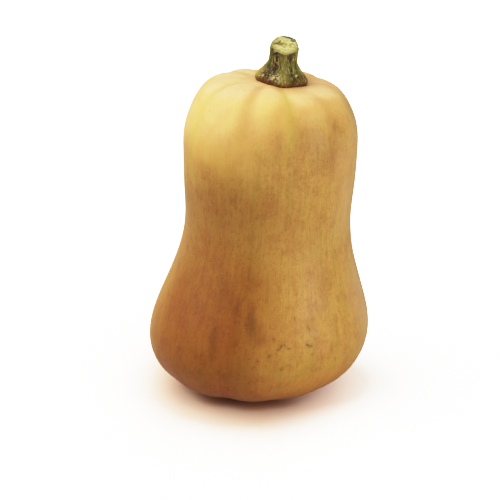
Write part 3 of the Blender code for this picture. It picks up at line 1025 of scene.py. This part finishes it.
def bark_material():
    material = bpy.data.materials.new("stem bark")
    material.use_nodes = True
    tree = material.node_tree
    shader = tree.nodes["Principled BSDF"]
    place = put(tree, "ShaderNodeTexCoord").outputs["Object"]
    colour = blend_in(tree, bark_colour(tree), cut_colour(tree), painted(tree, "cut"))
    tree.links.new(colour, shader.inputs["Base Color"])
    shader.inputs["Roughness"].default_value = 0.78
    shader.inputs["Specular IOR Level"].default_value = 0.3
    fine = cloudy(tree, place, 2200.0, 3.0)
    bump = put(tree, "ShaderNodeBump", {"Height": fine, "Distance": 0.0003, "Strength": 0.6})
    tree.links.new(bump.outputs[0], shader.inputs["Normal"])
    return material


# The outline of the turned stem, as (radius, height), from the middle of its cut to the middle of its foot.
STEM_OUTLINE = (
    (0.0, STEM_HEIGHT),
    (0.5 * STEM_RADIUS, STEM_HEIGHT),
    (0.94 * STEM_RADIUS, STEM_HEIGHT),
    (STEM_RADIUS, STEM_HEIGHT - 0.0007),
    (STEM_RADIUS, 0.0180),
    (STEM_RADIUS + 0.0009, 0.0140),
    (STEM_RADIUS + 0.0036, 0.0100),
    (STEM_FOOT_RADIUS - 0.0012, 0.0064),
    (STEM_FOOT_RADIUS, 0.0032),
    (STEM_FOOT_RADIUS - 0.0008, 0.0008),
    (STEM_FOOT_RADIUS - 0.0035, 0.0),
    (0.5 * STEM_FOOT_RADIUS, 0.0),
    (0.0, 0.0),
)
stem_rule, stem_way = smooth_curve(STEM_OUTLINE, STEM_RINGS)
stem = turned_piece("stem", stem_rule, stem_way, STEM_AROUND)
at = points_of(stem)
along = np.empty(3 * len(at))
stem.data.attributes["way"].data.foreach_get("vector", along)
along = along.reshape(-1, 3)[:, 2] / STEM_RADIUS
toes = toe_at(np.degrees(np.arctan2(at[:, 0], -at[:, 1])))
cut = step_up(along, *CUT_EDGE)
rim = cut * step_up(along, *RIM_SHARES)
hollow = cut * near_spot(at, HOLLOW_PLACE, HOLLOW_SIZE)
crack = cut * near_line(at, *CRACK, CRACK_WIDTH)
scab = cut * step_up(near_spot(at, SCAB_PLACE, SCAB_SIZE), *SCAB_EDGE)
scab = np.maximum(scab, CRUST_SHARE * cut * near_line(at, *CRUST, CRUST_WIDTH))
foot = step_up(at[:, 2], 0.012, 0.0) * (1 - cut)
marks = {"toe": toes, "foot": foot, "cut": cut, "hollow": hollow, "rim": rim, "crack": crack, "scab": scab}
for name, values in marks.items():
    keep_value(stem, name, values)
up = at[:, 2] / STEM_HEIGHT
at[:, :2] *= (1 + np.interp(at[:, 2], TOE_HEIGHTS, TOE_SHARES) * toes)[:, None]
at[:, 2] += math.tan(STEM_CUT_SLANT) * at[:, 1] * up**2
at[:, 1] += STEM_LEAN * up**2
at[:, 2] += SCAB_HEIGHT * scab - HOLLOW_DEPTH * hollow - CRACK_DEPTH * crack
at = at @ np.array(Matrix.Rotation(-STEM_TILT, 3, "Y"))
stem.data.vertices.foreach_set("co", (at + np.array(STEM_SEAT)).ravel())
stem.data.update()
made_by(stem, bark_tree(), Material=bark_material())
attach(stem, "root")
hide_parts("squash_stem")

# The floor is a plain pale studio sweep, seen white except where the squash shades it, and painted with
# shadow besides: a warm tan painted shadow around it, and a thin brown painted shade where the two meet.
# Both fade towards the right and the left.
FLOOR_REACH = 6.0
SEEN_WHITE = (2.45, 2.40, 2.35, 1.0)
LIGHTING_WHITE = (0.55, 0.55, 0.55, 1.0)
PAINTED_SHADOW_TAN = (1.06, 0.86, 0.68, 1.0)
PAINTED_SHADOW_REACH = 0.35
PAINTED_SHADOW_GAIN = 3.0
PAINTED_SHADOW_POWER = 1.05
PAINTED_SHADOW_RIGHT = (0.082, -0.006, 0.12)
PAINTED_SHADOW_LEFT = (-0.14, -0.05, 0.35)
PAINTED_CONTACT_SHADE = (0.68, 0.35, 0.20, 1.0)
CONTACT_REACH = 0.0077
CONTACT_EDGE = (0.95, 0.25)
CONTACT_RIGHT = (0.044, 0.008, 0.12)
CONTACT_LEFT = (-0.065, -0.028, 0.2)


def open_sky(tree, reach):
    """How much of the room a point of the floor sees, as far as a reach."""
    return put(tree, "ShaderNodeAmbientOcclusion", {"Distance": reach}, samples=8).outputs["AO"]


def between(tree, across, right, left):
    """Fades a shade out on the right and on the left of the squash."""
    return both(tree, ease(tree, across, *right), ease(tree, across, *left))


floor_mesh = bpy.data.meshes.new("floor")
corners = [(x * FLOOR_REACH, y * FLOOR_REACH, 0.0) for x, y in ((-1, -1), (1, -1), (1, 1), (-1, 1))]
floor_mesh.from_pydata(corners, [], [(0, 1, 2, 3)])
floor = bpy.data.objects.new("floor", floor_mesh)
bpy.context.scene.collection.objects.link(floor)
paper = bpy.data.materials.new("studio paper")
paper.use_nodes = True
tree = paper.node_tree
across = parts_of(tree, put(tree, "ShaderNodeTexCoord").outputs["Object"])["X"]
# Painted shadow: the floor turns warm tan as the squash hides more of the room from it.
shaded = reckon(tree, "SUBTRACT", 1.0, open_sky(tree, PAINTED_SHADOW_REACH))
shaded = reckon(tree, "MULTIPLY", shaded, PAINTED_SHADOW_GAIN, clamp=True)
shaded = reckon(tree, "POWER", shaded, PAINTED_SHADOW_POWER)
painted_shadow = both(tree, shaded, between(tree, across, PAINTED_SHADOW_RIGHT, PAINTED_SHADOW_LEFT))
seen_white = blend_in(tree, SEEN_WHITE, PAINTED_SHADOW_TAN, painted_shadow)
# Painted shade: a thin brown where the squash meets the floor.
painted_contact = ease(tree, open_sky(tree, CONTACT_REACH), *CONTACT_EDGE)
painted_contact = both(tree, painted_contact, between(tree, across, CONTACT_RIGHT, CONTACT_LEFT))
seen_white = blend_in(tree, seen_white, PAINTED_CONTACT_SHADE, painted_contact)
seen = put(tree, "ShaderNodeLightPath").outputs["Is Camera Ray"]
shade = put(tree, "ShaderNodeBsdfDiffuse", {"Color": blend_in(tree, LIGHTING_WHITE, seen_white, seen)})
tree.links.new(shade.outputs[0], tree.nodes["Material Output"].inputs["Surface"])
floor_mesh.materials.append(paper)

# The light is a broad bright ceiling, a little to the left, a paler box from the right, and the glow of a
# white room.
CEILING_FROM = Vector((-0.80, 0.0, 1.0))
CEILING_SPREAD = math.radians(80.0)
CEILING_STRENGTH = 2.7
RIGHT_BOX_PLACE = Vector((1.3, -0.9, 0.45))
RIGHT_BOX_AIM = Vector((0.0, 0.0, 0.12))
RIGHT_BOX_SIZE = 1.0
RIGHT_BOX_STRENGTH = 12.0
ROOM_WHITE = (1.0, 1.0, 1.0, 1.0)
ROOM_GLOW = 0.42


def hung_light(name, kind, place, behind, strength):
    """A light at a place, which shines away from what is behind it."""
    lamp = bpy.data.lights.new(name, kind)
    lamp.energy = strength
    light = bpy.data.objects.new(name, lamp)
    light.location = place
    light.rotation_euler = behind.to_track_quat("Z", "Y").to_euler()
    bpy.context.scene.collection.objects.link(light)
    return lamp


ceiling = hung_light("ceiling light", "SUN", 2.0 * CEILING_FROM, CEILING_FROM, CEILING_STRENGTH)
ceiling.angle = CEILING_SPREAD
right_back = RIGHT_BOX_PLACE - RIGHT_BOX_AIM
right_box = hung_light("right box", "AREA", RIGHT_BOX_PLACE, right_back, RIGHT_BOX_STRENGTH)
right_box.shape = "DISK"
right_box.size = RIGHT_BOX_SIZE
room = bpy.data.worlds.new("white room")
bpy.context.scene.world = room
room.use_nodes = True
room.node_tree.nodes["Background"].inputs["Color"].default_value = ROOM_WHITE
room.node_tree.nodes["Background"].inputs["Strength"].default_value = ROOM_GLOW

# The camera looks down on the squash from about 20 degrees, through a long lens.
CAMERA_AIM = Vector((-0.0063, 0.0, 0.0995))
CAMERA_DISTANCE = 1.4
CAMERA_ELEVATION = math.radians(20.0)
SENSOR_WIDTH = 36.0
FOCAL_LENGTH = 144.0
lens = bpy.data.cameras.new("camera")
lens.sensor_width = SENSOR_WIDTH
lens.lens = FOCAL_LENGTH
camera = bpy.data.objects.new("camera", lens)
away = Vector((0.0, -math.cos(CAMERA_ELEVATION), math.sin(CAMERA_ELEVATION)))
camera.location = CAMERA_AIM + CAMERA_DISTANCE * away
camera.rotation_euler = (-away).to_track_quat("-Z", "Y").to_euler()
bpy.context.scene.collection.objects.link(camera)
bpy.context.scene.camera = camera

# The picture is printed like a bright studio shot: shadows a little deeper, whites that roll off softly.
PRINT_WHITE = 2.6
PRINT_LIGHTS = (0.10, 0.25, 0.50, 0.80, 1.10, 1.60, 2.10)
PRINT_SHOWN = (0.065, 0.20, 0.47, 0.75, 0.89, 0.965, 0.99)
view = bpy.context.scene.view_settings
view.view_transform = "Standard"
view.use_curve_mapping = True
view.curve_mapping.white_level = (PRINT_WHITE, PRINT_WHITE, PRINT_WHITE)
for light, shown in zip(PRINT_LIGHTS, PRINT_SHOWN):
    view.curve_mapping.curves[3].points.new(light / PRINT_WHITE, shown)
view.curve_mapping.update()
